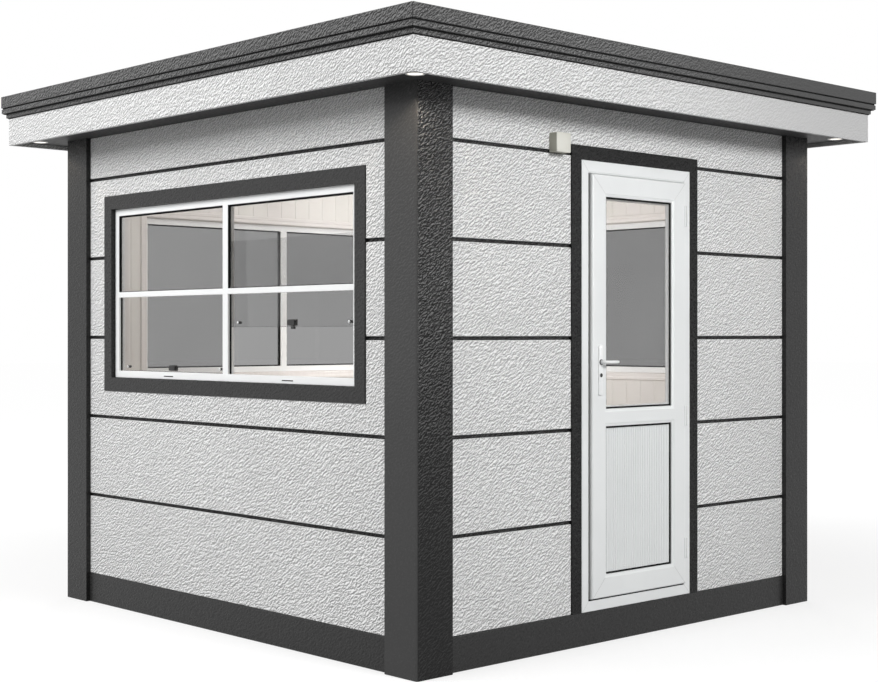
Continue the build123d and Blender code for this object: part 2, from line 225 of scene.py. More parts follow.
def textured_coat(name, shade, painted_flank_shade, roughness, relief, gloss, fade=None, lean=0.0):
    """Trowelled coat: short raised strokes over a fine grain, with painted light on their upper flank
    and painted shade on their lower flank.
    """
    n = Nodes(name)
    plane = face_plane(n)
    strokes = trowel_strokes(n, plane)
    # The difference of two readings of the strokes marks their upper and lower flanks for painted light
    # and shade.
    flank = n.math("SUBTRACT", strokes, trowel_strokes(n, plane, FLANK_STEP))
    lumps = n.noise(plane, LUMP_SCALE, 1.0, 0.5)
    grain = n.noise(plane, GRAIN_SCALE, 2.0, 0.6)
    height = n.math("ADD", n.math("MULTIPLY", strokes, STROKE_SHARE),
                    n.math("MULTIPLY", lumps, 1 - STROKE_SHARE))
    height = n.spread(height, 0.30, 0.70)
    height = n.math("ADD", height, n.math("MULTIPLY", grain, GRAIN_SHARE))
    weathering = n.spread(n.noise(n.place(), 2.3, 3.0, 0.6), 0.35, 0.7)
    colour = n.blend(weathering, grey(shade), grey(shade * WORN_SHARE))
    # A lean above zero leaves more of each stroke in painted shade and puts the painted light on fewer
    # flanks.
    painted_flank_light = n.spread(flank, lean - FLANK_BAND, lean + FLANK_BAND)
    colour = n.blend(painted_flank_light, grey(painted_flank_shade), colour)
    if fade:
        height, colour = faded(n, fade, height, colour)
    rough = n.spread(lumps, 0.3, 0.7, roughness - 0.06, roughness + 0.08)
    dust = n.spread(true_normal(n)[2], 0.5, 0.9)
    return n.surface({
        "Base Color": colour,
        "Roughness": n.math("ADD", rough, n.math("MULTIPLY", dust, DUST_ROUGHNESS)),
        "Specular IOR Level": gloss,
        "Normal": n.bump(height, relief),
    })


def moulded_plastic(name, shade, dull_shade, roughness, grain_scale=900.0, grain=0.00006, gloss=0.5):
    """Smooth extruded or moulded plastic with a faint cloudiness and a fine grain."""
    n = Nodes(name)
    cloud = n.spread(n.noise(n.place(), 3.1, 3.0, 0.6), 0.3, 0.7)
    fine = n.noise(n.place(), grain_scale, 2.0, 0.6)
    rough = n.spread(n.noise(n.place(), 14.0, 3.0, 0.6), 0.3, 0.7, roughness - 0.05, roughness + 0.07)
    return n.surface({
        "Base Color": n.blend(cloud, shade, dull_shade),
        "Roughness": rough,
        "Specular IOR Level": gloss,
        "Normal": n.bump(fine, grain),
    })


def window_glass(name, passed, sheen):
    """Grey tinted pane: each of its two faces lets part of the light through and mirrors a little."""
    n = Nodes(name)
    cloud = n.spread(n.noise(n.place(), 1.7, 2.0, 0.5), 0.3, 0.7)
    per_face = math.sqrt(passed)
    tint = n.blend(cloud, grey(per_face), grey(per_face * 0.985))
    clear = n.add("ShaderNodeBsdfTransparent", {"Color": tint})
    shine = n.add("ShaderNodeBsdfGlossy", {"Color": grey(0.9), "Roughness": 0.02})
    slant = n.add("ShaderNodeLayerWeight", {"Blend": 0.5}).outputs["Facing"]
    mirror = n.math("ADD", n.math("MULTIPLY", n.math("POWER", slant, 5.0), 0.8), sheen)
    mix = n.add("ShaderNodeMixShader", {0: mirror, 1: clear.outputs[0], 2: shine.outputs[0]})
    n.tree.links.new(mix.outputs[0], n.output.inputs["Surface"])
    return n.material


def washed_boards(name):
    """Whitewashed softwood: each board has its own tint, with grain along its length."""
    n = Nodes(name)
    tint = n.add("ShaderNodeAttribute", attribute_name="board_tint").outputs["Fac"]
    place = n.place()
    grain = n.noise(n.stretched(place, (60.0, 60.0, 2.5)), 1.0, 4.0, 0.65, 0.8)
    fibre = n.noise(n.stretched(place, (420.0, 420.0, 9.0)), 1.0, 2.0, 0.6)
    base = n.blend(tint, (0.83, 0.795, 0.775, 1), (0.81, 0.795, 0.755, 1))
    colour = n.blend(n.spread(grain, 0.35, 0.75, 0.0, 0.55), base, (0.76, 0.72, 0.69, 1))
    height = n.math("ADD", n.math("MULTIPLY", grain, 0.7), n.math("MULTIPLY", fibre, 0.3))
    return n.surface({
        "Base Color": colour,
        "Roughness": n.spread(fibre, 0.3, 0.7, 0.48, 0.64),
        "Normal": n.bump(height, 0.0004),
    })


def floor_boards(name):
    """Laminate planks laid front to back."""
    n = Nodes(name)
    place = n.place()
    turned = n.add("ShaderNodeMapping", {"Vector": place, "Rotation": (0, 0, math.radians(90))})
    planks = n.add("ShaderNodeTexBrick", {
        "Vector": turned.outputs[0], "Color1": (0.44, 0.38, 0.31, 1), "Color2": (0.51, 0.45, 0.38, 1),
        "Mortar": (0.10, 0.07, 0.05, 1), "Scale": 1.0, "Mortar Size": 0.0015,
        "Brick Width": 1.2, "Row Height": 0.19,
    })
    grain = n.noise(n.stretched(place, (70.0, 3.0, 70.0)), 1.0, 4.0, 0.65, 0.6)
    colour = n.blend(n.spread(grain, 0.4, 0.7, 0.0, 0.5), planks.outputs["Color"], (0.36, 0.30, 0.24, 1))
    return n.surface({
        "Base Color": colour,
        "Roughness": n.spread(grain, 0.3, 0.7, 0.34, 0.48),
        "Normal": n.bump(n.math("SUBTRACT", grain, planks.outputs["Fac"]), 0.0006),
    })


def roof_felt(name):
    """Mineral roofing sheet: coarse grains and long weather stains."""
    n = Nodes(name)
    place = n.place()
    grains = n.noise(place, 260.0, 2.0, 0.7)
    stains = n.spread(n.noise(place, 1.6, 4.0, 0.6, 0.6), 0.35, 0.7)
    colour = n.blend(stains, grey(0.085), grey(0.125, 0.02))
    colour = n.blend(n.spread(grains, 0.45, 0.65, 0.0, 0.6), colour, grey(0.17))
    return n.surface({
        "Base Color": colour,
        "Roughness": n.spread(grains, 0.3, 0.7, 0.75, 0.92),
        "Normal": n.bump(grains, 0.0012),
    })


def lamp_lens(name):
    """Frosted lens of a downlight, lit from inside."""
    n = Nodes(name)
    frost = n.noise(n.place(), 600.0, 2.0, 0.6)
    glow = n.blend(n.spread(frost, 0.3, 0.7), (1.0, 0.96, 0.88, 1), (1.0, 0.93, 0.82, 1))
    return n.surface({
        "Base Color": glow,
        "Roughness": n.spread(frost, 0.3, 0.7, 0.4, 0.55),
        "Emission Color": glow,
        "Emission Strength": 1.3,
    })


# Fascia and coping: the painted flank light fades toward the right end, into a darker plain painted
# shade there.
fascia_fade = Fade(TO_THE_LEFT, -1.2, 1.0, 0.12, 0.47, 1.0, 0.47)
coping_fade = Fade(TO_THE_LEFT, -1.2, 1.0, 0.08, 0.048, 1.0, 0.048)
# Near post: the painted streaks fade toward its foot into a dark painted shade, and its side faces get a
# lighter plain painted sheen.
post_fade = Fade(UPWARD, 0.2, 2.0, 0.15, 0.016, 0.15, 0.062)
light_coat = textured_coat("light_coat", 0.91, 0.42, 0.60, 0.0040, 0.25)
fascia_coat = textured_coat("fascia_coat", 0.91, 0.42, 0.60, 0.0040, 0.25, fascia_fade)
coping_coat = textured_coat("coping_coat", 0.155, 0.008, 0.34, 0.0034, 0.27, coping_fade, 0.02)
# A copy of the dark coat with bright painted streak highlights, for the near post.
painted_glint_post_coat = textured_coat("painted_glint_post_coat", 0.165, 0.001, 0.22, 0.0024, 0.10, post_fade, 0.08)
dark_coat = textured_coat("dark_coat", 0.028, 0.017, 0.30, 0.0008, 0.20)
# A darker copy of the dark coat for the door trim, as painted shade.
shaded_trim_coat = textured_coat("shaded_trim_coat", 0.020, 0.004, 0.30, 0.0012, 0.10)
groove_coat = textured_coat("groove_coat", 0.060, 0.002, 0.45, 0.0030, 0.15, lean=0.06)
dark_board = textured_coat("dark_board", 0.030, 0.025, 0.55, 0.0004, 0.20)
# The window frames' white is a lighter copy of the frame white, as painted light, and the ribbed panel's
# white a darker copy, as painted shade.
white_frame = moulded_plastic("white_frame", (0.765, 0.78, 0.78, 1), (0.735, 0.75, 0.75, 1), 0.36)
lit_window_white = moulded_plastic("lit_window_white", (0.88, 0.89, 0.89, 1), (0.86, 0.87, 0.87, 1), 0.34)
shaded_panel_white = moulded_plastic("shaded_panel_white", (0.73, 0.745, 0.745, 1), (0.71, 0.725, 0.725, 1), 0.42)
white_metal = moulded_plastic("white_metal", (0.83, 0.84, 0.84, 1), (0.80, 0.81, 0.81, 1), 0.30, 1500.0)
seam_grey = moulded_plastic("seam_grey", grey(0.50), grey(0.44), 0.55)
black_plastic = moulded_plastic("black_plastic", grey(0.012), grey(0.018), 0.42, 700.0, 0.0001, 0.3)
# Black rubber for gaskets and seals, also put in the roof-edge joints and at the door's gap as painted
# shade.
black_rubber_and_gap_shade = moulded_plastic("black_rubber_and_gap_shade", grey(0.006), grey(0.009), 0.75, 500.0, 0.0001, 0.12)
beige_plastic = moulded_plastic("beige_plastic", (0.61, 0.605, 0.55, 1), (0.57, 0.565, 0.51, 1), 0.45)
# Darker beige of the box's body, as painted shade on its sides.
painted_shade_body = moulded_plastic("painted_shade_body", (0.42, 0.415, 0.35, 1), (0.39, 0.385, 0.32, 1), 0.50)
# Copies of one grey glass with different tints: the back and right panes are much darker than the left
# and door panes, as painted shade over what is seen through them.
clear_glass = window_glass("clear_glass", 0.74, 0.008)
back_glass = window_glass("back_glass", 0.34, 0.008)
right_glass = window_glass("right_glass", 0.29, 0.008)
pane_glass = window_glass("pane_glass", 0.88, 0.005)
pale_lining = washed_boards("pale_lining")
floor_finish = floor_boards("floor_finish")
roof_sheet = roof_felt("roof_sheet")
lamp = lamp_lens("lamp")


# Mesh helpers


BOX_LOOPS = ((0, 1, 3, 2), (4, 6, 7, 5), (0, 4, 5, 1), (2, 3, 7, 6), (0, 2, 6, 4), (1, 5, 7, 3))


def wall_box(bm, side, run, depth, rise, material=0):
    """A box on a wall, from its ends along the wall, its depths and its heights."""
    ends = [at(side, *place) for place in zip(run, depth, rise)]
    xs, ys, zs = [sorted(pair) for pair in zip(*ends)]
    corners = [bm.verts.new((x, y, z)) for x in xs for y in ys for z in zs]
    for loop in BOX_LOOPS:
        bm.faces.new([corners[i] for i in loop]).material_index = material


def skin(bm, here, there, material=0):
    """Faces between two closed loops with as many points."""
    made = []
    for i in range(len(here)):
        j = (i + 1) % len(here)
        made.append(bm.faces.new((here[i], here[j], there[j], there[i])))
        made[-1].material_index = material
    return made


def corners_of(rect, inset):
    return ((rect.left + inset, rect.low + inset), (rect.right - inset, rect.low + inset),
            (rect.right - inset, rect.high - inset), (rect.left + inset, rect.high - inset))


def sweep_ring(bm, side, rect, profile, bars=(0, 1, 2, 3)):
    """A closed profile of (inset, depth) points run round a rectangle on a wall, with mitred corners."""
    rings = [[bm.verts.new(at(side, run, depth, rise)) for run, rise in corners_of(rect, inset)]
             for inset, depth in profile]
    for bar in bars:
        nxt = (bar + 1) % 4
        for here, there in zip(rings, rings[1:] + rings[:1]):
            bm.faces.new((here[bar], here[nxt], there[nxt], there[bar]))
    if len(bars) < 4:
        for end in (bars[0], (bars[-1] + 1) % 4):
            bm.faces.new([ring[end] for ring in rings])


def turned(bm, origin, axis, profile, steps=32, material=0):
    """A profile of (radius, height) points turned about an axis."""
    axis = axis.normalized()
    across = axis.orthogonal().normalized()
    other = axis.cross(across)
    rings = []
    for radius, height in profile:
        centre = origin + axis * height
        if radius == 0:
            rings.append([bm.verts.new(centre)])
            continue
        angles = [2 * math.pi * i / steps for i in range(steps)]
        spokes = [across * math.cos(a) + other * math.sin(a) for a in angles]
        rings.append([bm.verts.new(centre + spoke * radius) for spoke in spokes])
    for here, there in zip(rings, rings[1:]):
        for i in range(steps):
            j = (i + 1) % steps
            loop = [here[i % len(here)], here[j % len(here)]]
            loop += [there[j % len(there)], there[i % len(there)]]
            loop = [v for k, v in enumerate(loop) if v not in loop[:k]]
            if len(loop) > 2:
                bm.faces.new(loop).material_index = material


def tube(bm, points, sizes, steps):
    """An oval tube through points, with a (width, height) at each, closed at both ends."""
    rings = []
    for i, (point, (wide, high)) in enumerate(zip(points, sizes)):
        before, after = points[max(i - 1, 0)], points[min(i + 1, len(points) - 1)]
        along = (after - before).normalized()
        across = along.cross(UP).normalized()
        angles = [2 * math.pi * k / steps for k in range(steps)]
        rings.append([bm.verts.new(point + across * wide / 2 * math.cos(a) + UP * high / 2 * math.sin(a))
                      for a in angles])
    for here, there in zip(rings, rings[1:]):
        skin(bm, here, there)
    for ring in (rings[0], rings[-1]):
        bm.faces.new(ring)


def soften(obj, width):
    """Eases the edges of an object that are sharper than a set angle."""
    bevel = obj.modifiers.new("soft_edges", "BEVEL")
    bevel.width = width
    bevel.segments = 2
    bevel.limit_method = "ANGLE"
    bevel.angle_limit = math.radians(38)
    obj.modifiers.new("even_shading", "WEIGHTED_NORMAL").keep_sharp = True


def new_object(name, bm, materials):
    mesh = bpy.data.meshes.new(name)
    bm.to_mesh(mesh)
    bm.free()
    for material in materials:
        mesh.materials.append(material)
    obj = bpy.data.objects.new(name, mesh)
    bpy.context.scene.collection.objects.link(obj)
    return obj


def piece(name, bm, body, materials, edge=0.0, stands_for=(), smooth=40):
    """Makes an object of the mesh, puts it on its body and gives it its finish."""
    bmesh.ops.recalc_face_normals(bm, faces=bm.faces)
    obj = new_object(name, bm, materials)
    obj.data.shade_smooth()
    obj.data.set_sharp_from_angle(angle=math.radians(smooth))
    if edge:
        soften(obj, edge)
    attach(obj, body)
    if stands_for:
        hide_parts(*stands_for)
    return obj


def softened(node, edge, material):
    """Stands in for a node with the same shape and eased edges."""
    bm = bmesh.new()
    bm.from_mesh(nodes[node].data)
    bmesh.ops.remove_doubles(bm, verts=bm.verts, dist=1e-5)
    bmesh.ops.dissolve_limit(bm, angle_limit=math.radians(1), verts=bm.verts, edges=bm.edges)
    piece(f"{node}_eased", bm, "cabin", [material], edge, (node,))


def finish_node(node, material):
    """Gives a node of the solid model its finish."""
    data = nodes[node].data
    data.materials.clear()
    data.materials.append(material)


# Shell: posts, plinth, cladding, trims


def dress_shell():
    """Finishes of the posts, plinth, cladding, trims, floor and roof."""
    # The near post has the copy of the dark coat with painted streak highlights; the other posts have
    # the plain dark coat.
    finish_node("front_left_post", painted_glint_post_coat)
    for post in ("front_right_post", "back_left_post", "back_right_post"):
        finish_node(post, dark_coat)
    for side in SIDES:
        softened(f"{side.name}_plinth", 0.003, dark_coat)
        softened(f"{side.name}_cladding", 0.0022, light_coat)
        softened(f"{side.name}_fascia", 0.0008, fascia_coat)
    for wall in ("front_wall_left", "front_wall_right", "front_wall_over_door",
                 "left_wall", "back_wall", "right_wall"):
        finish_node(wall, groove_coat)
    softened("window_trims", 0.002, dark_coat)
    # The door trim has a darker copy of the window trims' coat: painted shade.
    softened("door_trim", 0.002, shaded_trim_coat)
    finish_node("interior_lining", pale_lining)
    finish_node("floor_panel", floor_finish)
    finish_node("roof_deck", dark_board)
    finish_node("soffit", dark_board)
    finish_node("roof_panel", roof_sheet)


# Roof edge


Band = namedtuple("Band", "outer low high")
COPING_BANDS = (Band(1.576, 2.4830, 2.5025), Band(1.593, 2.5055, 2.5285), Band(1.595, 2.5350, 2.594))
COPING_INNER = 1.415
COPING_GAP = 0.0007
CORE_LOWS = (2.480, COPING_BANDS[0].high, COPING_BANDS[1].high)


def mitred_bar(bm, side, outer, inner, low, high, gap=0.0):
    """A bar along one side of the roof, cut at 45 degrees at both ends."""
    ends = ((-outer + gap, outer), (outer - gap, outer), (inner - gap, inner), (-inner + gap, inner))
    under, over = [[bm.verts.new(side.along * run + side.outward * out + UP * rise) for run, out in ends]
                   for rise in (low, high)]
    bm.faces.new(under[::-1])
    bm.faces.new(over)
    skin(bm, under, over)


def coping():
    """Three stepped bands on each side, with a black core in the joints between them as painted shade.
    """
    for side in SIDES:
        bm = bmesh.new()
        for band in COPING_BANDS:
            mitred_bar(bm, side, band.outer, COPING_INNER, band.low, band.high, COPING_GAP)
        piece(f"{side.name}_coping_bands", bm, "cabin", [coping_coat], 0.0018,
              (f"{side.name}_coping",))
    bm = bmesh.new()
    recess, cover = 0.007, 0.0012
    for side in SIDES:
        for band, low in zip(COPING_BANDS, CORE_LOWS):
            mitred_bar(bm, side, band.outer - recess, COPING_INNER + recess, low, band.high - cover)
    piece("coping_joint_shade", bm, "cabin", [black_rubber_and_gap_shade])


def roof_caps():
    """Sheet laps over the hips of the roof panel."""
    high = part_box("roof_panel")[1]
    edge_rise, crown, corner_inset = 2.500, 0.16, 0.01
    half, proud = 0.045, 0.004
    drop = UP * (proud * 3)
    bm = bmesh.new()
    for sx in (-1, 1):
        for sy in (-1, 1):
            corner = (sx * (high.x - corner_inset), sy * (high.y - corner_inset), edge_rise + proud)
            hip = (Vector(corner), Vector((sx * crown, sy * crown, high.z)))
            across = Vector((-sy, sx, 0)).normalized() * half
            ridge = [bm.verts.new(p) for p in hip]
            wings = [[bm.verts.new(p + across * s - drop) for p in hip] for s in (-1, 1)]
            for wing in wings:
                bm.faces.new((ridge[0], ridge[1], wing[1], wing[0]))
    obj = piece("roof_hip_laps", bm, "cabin", [roof_sheet])
    thick = obj.modifiers.new("sheet", "SOLIDIFY")
    thick.thickness = 0.003
    thick.offset = -1


# Windows


PULL_INSET, PULL_RISE = 0.050, 0.021
PULL_CAP = ((0, 0.0028), (0.0040, 0.0028), (0.0056, 0.0016), (0.0060, -0.0010))
PULL_STEM = ((0.0068, -0.001), (0.0068, 0.002), (0.0046, 0.005), (0.0068, 0.011), (0.0050, 0.014),
             (0, 0.014))
DRAIN_SPOTS, DRAIN_HALF, DRAIN_RISE = (-0.466, 0.466), 0.039, (1.1578, 1.1626)
HOOD_HALF, HOOD_RISE = 0.043, (1.1628, 1.1645)


def gasket_profile(width, face, lip):
    """A flat gasket on a pane, with a lip against the frame."""
    thick = 0.0012
    return [(0, lip), (0.0012, lip), (0.0020, face), (width, face), (width, face + thick),
            (0, face + thick)]


def sash_window():
    """Seals, pulls and edge strips of the window with sliding panes."""
    finish_node("left_window_glass", clear_glass)
    seals = bmesh.new()
    for run in BAYS:
        upper = Rect(run[0], run[1], TRANSOM_HIGH, WINDOW_CLEAR.high)
        face, lip = FIXED_FACE - 0.0014, FRAME_FACE + 0.0012
        sweep_ring(seals, LEFT, upper, gasket_profile(0.0085, face, lip), bars=(1, 2, 3))
        sweep_ring(seals, LEFT, upper, gasket_profile(0.0035, face, face - 0.0010), bars=(0,))
        for edge, way in ((run[0], 1), (run[1], -1)):
            strip = (edge, edge + way * 0.0020)
            depth = (FIXED_FACE - 0.0015, SASH_FACE - 0.0006)
            wall_box(seals, LEFT, strip, depth, (WINDOW_CLEAR.low, TRANSOM_LOW))
    piece("left_window_seals", seals, "cabin", [black_rubber_and_gap_shade])

    pulls, strips = bmesh.new(), bmesh.new()
    for run, lift in zip(BAYS, (0.0, SASH_RAISE)):
        foot = WINDOW_CLEAR.low + lift
        for edge, way in ((run[0], 1), (run[1], -1)):
            spot = edge + way * PULL_INSET
            front = at(LEFT, spot, SASH_FACE, foot + PULL_RISE)
            turned(pulls, front, LEFT.outward, PULL_CAP, 20, 1)
            back = at(LEFT, spot, SASH_BACK, foot + PULL_RISE)
            turned(pulls, back, -LEFT.outward, PULL_STEM, 20)
        ends = (run[0] + 0.004, run[1] - 0.004)
        outer = (SASH_FACE - 0.0008, SASH_FACE - 0.0001)
        inner = (SASH_BACK + 0.0001, SASH_BACK + 0.0008)
        for depth in (outer, inner):
            wall_box(strips, LEFT, ends, depth, (foot + 0.0006, foot + 0.0030))
    piece("left_sash_pulls", pulls, "cabin", [black_plastic, white_metal], smooth=50)
    piece("left_sash_edges", strips, "cabin", [clear_glass])


def fixed_window(side):
    """Gaskets on both faces of the panes of a window that doesn't open."""
    finish_node(f"{side.name}_window_glass", back_glass if side is BACK else right_glass)
    seals = bmesh.new()
    for run in BAYS:
        pane = Rect(run[0], run[1], WINDOW_CLEAR.low, WINDOW_CLEAR.high)
        sweep_ring(seals, side, pane, gasket_profile(0.0065, SASH_FACE - 0.0014, SASH_FACE - 0.0030))
        inner = [(0, SASH_BACK + 0.0022), (0.0050, SASH_BACK + 0.0014), (0.0050, SASH_BACK + 0.0002),
                 (0, SASH_BACK + 0.0002)]
        sweep_ring(seals, side, pane, inner)
    piece(f"{side.name}_window_seals", seals, "cabin", [black_rubber_and_gap_shade])


def window_details(side):
    """Frame, panes and drain slots of one window, and its casing in the room."""
    softened(f"{side.name}_window_frame", 0.002, lit_window_white)
    if side is LEFT:
        sash_window()
    else:
        fixed_window(side)
    slots = bmesh.new()
    seat = FRAME_FACE + 0.004
    for centre in DRAIN_SPOTS:
        run = (centre - DRAIN_HALF, centre + DRAIN_HALF)
        wall_box(slots, side, run, (FRAME_FACE - 0.0009, seat), DRAIN_RISE)
        hood = (centre - HOOD_HALF, centre + HOOD_HALF)
        wall_box(slots, side, hood, (FRAME_FACE - 0.0022, seat), HOOD_RISE, 1)
    piece(f"{side.name}_drain_slots", slots, "cabin",
          [black_plastic, lit_window_white], 0.0004)
    casing(side)


def casing(side):
    """Stepped moulding round the window on the room side."""
    bm = bmesh.new()
    face = lining_face
    back = FRAME_BACK + 0.0005
    steps = [(-0.038, face), (-0.038, face + 0.010), (-0.035, face + 0.013), (-0.022, face + 0.013),
             (-0.019, face + 0.010), (-0.005, face + 0.010), (-0.001, face + 0.007),
             (0.003, face + 0.002), (0.004, back), (-0.004, back), (-0.004, face)]
    sweep_ring(bm, side, WINDOW_FRAME, steps)
    piece(f"{side.name}_window_casing", bm, "cabin", [pale_lining], 0.0008)


def latches():
    """Latch blocks at the foot of the sliding panes. The raised one shows its bolt."""
    bm = bmesh.new()
    for run, lift in zip(BAYS, (0.0, SASH_RAISE)):
        middle, foot = sum(run) / 2, WINDOW_CLEAR.low + lift
        blocks = [(0.027, (SASH_BACK, SASH_BACK + 0.010), (0.006, 0.033)),
                  (0.021, (SASH_BACK + 0.010, SASH_BACK + 0.015), (0.011, 0.029)),
                  (0.025, (SASH_FACE - 0.003, SASH_FACE), (0.007, 0.031))]
        if lift:
            blocks.append((0.012, (SASH_BACK + 0.002, SASH_BACK + 0.010), (-0.009, 0.007)))
        for half, depth, rise in blocks:
            wall_box(bm, LEFT, (middle - half, middle + half), depth, (foot + rise[0], foot + rise[1]))
    piece("sash_latches_shaped", bm, "cabin", [black_plastic], 0.0012,
          ("sash_latches",))


# Door


def cells_with_holes(bm, side, rect, holes, depth):
    """A flat face on a wall with rectangular holes one above another, all as wide as the first."""
    runs = (rect.left, holes[0].left, holes[0].right, rect.right)
    rises = [rect.low]
    for hole in holes:
        rises += [hole.low, hole.high]
    rises.append(rect.high)
    grid = [[bm.verts.new(at(side, run, depth, rise)) for run in runs] for rise in rises]
    for row in range(len(rises) - 1):
        for col in range(3):
            if col == 1 and row % 2:
                continue
            bm.faces.new((grid[row][col], grid[row][col + 1],
                          grid[row + 1][col + 1], grid[row + 1][col]))


def loft(bm, side, steps):
    """Joins rectangles of given depths into a skin."""
    rings = [[bm.verts.new(at(side, run, depth, rise)) for run, rise in corners_of(rect, 0)]
             for rect, depth in steps]
    for here, there in zip(rings, rings[1:]):
        skin(bm, here, there)


CHAMFER_OUT, CHAMFER_IN, CHAMFER_DEPTH, GASKET_STEP = 0.020, 0.007, 0.0062, 0.0130
HOLES = (PANEL_HOLE, GLASS_HOLE)


def door_leaf():
    """Leaf with eased edges and chamfered openings, its gaskets, and weld lines on leaf and frame."""
    bm = bmesh.new()
    wide_holes = [grown(hole, CHAMFER_OUT) for hole in HOLES]
    ease = 0.009
    face = grown(LEAF, -ease)
    cells_with_holes(bm, FRONT, face, wide_holes, 0.0)
    cells_with_holes(bm, FRONT, face, wide_holes, LEAF_BACK)
    turns = [math.radians(a) for a in (0, 18, 36, 54, 72, 90)]
    rounding = [(grown(LEAF, -ease * (1 - math.sin(a))), ease * (1 - math.cos(a))) for a in turns]
    loft(bm, FRONT, rounding + [(rect, LEAF_BACK - depth) for rect, depth in rounding[::-1]])
    for hole in HOLES:
        loft(bm, FRONT, [
            (grown(hole, CHAMFER_OUT), 0.0), (grown(hole, CHAMFER_OUT - 0.0008), 0.0012),
            (grown(hole, CHAMFER_IN), CHAMFER_DEPTH), (grown(hole, CHAMFER_IN), GASKET_STEP),
            (hole, GASKET_STEP), (hole, BEAD_BACK), (grown(hole, CHAMFER_OUT), LEAF_BACK),
        ])
    bmesh.ops.remove_doubles(bm, verts=bm.verts, dist=1e-6)
    piece("door_leaf_profile", bm, "door", [white_frame], 0.0006, ("door_leaf",), 48)

    seals = bmesh.new()
    for hole in HOLES:
        rim = grown(hole, CHAMFER_IN - 0.0003)
        lip, foot, edge = GASKET_STEP - 0.0018, GLASS_FACE - 0.0002, CHAMFER_IN + 0.0012
        bead = [(0, GASKET_STEP), (0.0008, lip), (0.0060, lip), (edge, lip + 0.0012), (edge, foot),
                (CHAMFER_IN, foot), (CHAMFER_IN, GASKET_STEP)]
        sweep_ring(seals, FRONT, rim, bead)
    piece("door_infill_gaskets", seals, "door", [black_rubber_and_gap_shade])

    joints = bmesh.new()
    below, above = [corners_of(hole, 0) for hole in wide_holes]
    inner = below[:2] + above[2:]
    mitre_lines(joints, corners_of(LEAF, 0.003), inner, 0.0)
    piece("door_mitre_lines", joints, "door", [seam_grey])
    joints = bmesh.new()
    mitre_lines(joints, corners_of(DOOR_FRAME, 0.001), corners_of(PASSAGE, 0), FRAME_RECESS)
    piece("door_frame_mitre_lines", joints, "cabin", [seam_grey])


def mitre_lines(bm, outer, inner, depth):
    """Fine weld lines where the uprights meet the rails, from outer to inner corners."""
    half_width, proud = 0.0006, 0.00025
    out = FRONT.outward * proud
    for (run_a, rise_a), (run_b, rise_b) in zip(outer, inner):
        start, stop = at(FRONT, run_a, depth, rise_a), at(FRONT, run_b, depth, rise_b)
        sideways = (stop - start).cross(FRONT.outward).normalized() * half_width
        corners = (start - sideways, stop - sideways, stop + sideways, start + sideways)
        front = [bm.verts.new(p + out) for p in corners]
        back = [bm.verts.new(v.co - out * 2) for v in front]
        bm.faces.new(front)
        bm.faces.new(back[::-1])
        skin(bm, front, back)


def sealed_pane():
    """Two panes with a bright spacer between them at their edges."""
    thick, back = 0.004, 0.035
    bm = bmesh.new()
    for depth in ((GLASS_FACE, GLASS_FACE + thick), (back - thick, back)):
        rim = grown(GLASS_HOLE, -0.0002)
        wall_box(bm, FRONT, (rim.left, rim.right), depth, (rim.low, rim.high))
    piece("door_glass_panes", bm, "door", [pane_glass], 0.0004, ("door_glass",))
    bm = bmesh.new()
    spacer = (GLASS_FACE + thick + 0.0003, back - thick - 0.0003)
    slope = [(0.0002, spacer[0]), (0.0012, spacer[0]), (0.0070, spacer[1]), (0.0002, spacer[1])]
    sweep_ring(bm, FRONT, GLASS_HOLE, slope)
    piece("door_glass_spacer", bm, "door", [white_metal])


def ribbed_panel():
    """Lower infill with fine upright ribs on both faces."""
    face, back, margin = 0.0150, 0.0350, 0.011
    pitch, valley = 0.0126, 0.0036
    width = PANEL_HOLE.right - PANEL_HOLE.left - 2 * margin
    count = round(width / pitch)
    pitch = width / count
    runs = [(PANEL_HOLE.left, 0.0), (PANEL_HOLE.left + margin, 0.0)]
    for i in range(count):
        start = PANEL_HOLE.left + margin + i * pitch
        for share, dip in ((0.10, 0.0), (0.28, 1.0), (0.55, 1.0), (0.73, 0.0), (1.0, 0.0)):
            runs.append((start + share * pitch, dip * valley))
    runs.append((PANEL_HOLE.right, 0.0))
    bm = bmesh.new()
    section = [(run, face + dip) for run, dip in runs] + [(run, back - dip) for run, dip in runs[::-1]]
    loops = [[bm.verts.new(at(FRONT, run, depth, rise)) for run, depth in section]
             for rise in (PANEL_HOLE.low, PANEL_HOLE.high)]
    skin(bm, *loops)
    for loop in loops:
        bm.faces.new(loop)
    piece("door_panel_ribbed", bm, "door", [shaded_panel_white], 0.0, ("door_panel",), 30)


def rounded_plate(bm, side, rect, depths, radius, crown, material=0):
    """A long plate with rounded ends and a softly crowned face."""
    steps = 8
    base, face = depths
    sign = 1 if face > base else -1
    left, right = rect.left + radius, rect.right - radius
    low, high = rect.low + radius, rect.high - radius
    centres = ((right, high, 0), (left, high, 90), (left, low, 180), (right, low, 270))

    def outline(inset, depth):
        r = max(radius - inset, 0.0005)
        points = []
        for run, rise, start in centres:
            for k in range(steps + 1):
                a = math.radians(start + 90 * k / steps)
                point = at(side, run + r * math.cos(a), depth, rise + r * math.sin(a))
                points.append(bm.verts.new(point))
        return points

    shoulder = crown * 0.35
    loops = [outline(0, base), outline(0, face - sign * crown),
             outline(shoulder, face - sign * shoulder), outline(crown, face)]
    for here, there in zip(loops, loops[1:]):
        skin(bm, here, there, material)
    for loop in (loops[0], loops[-1]):
        bm.faces.new(loop).material_index = material


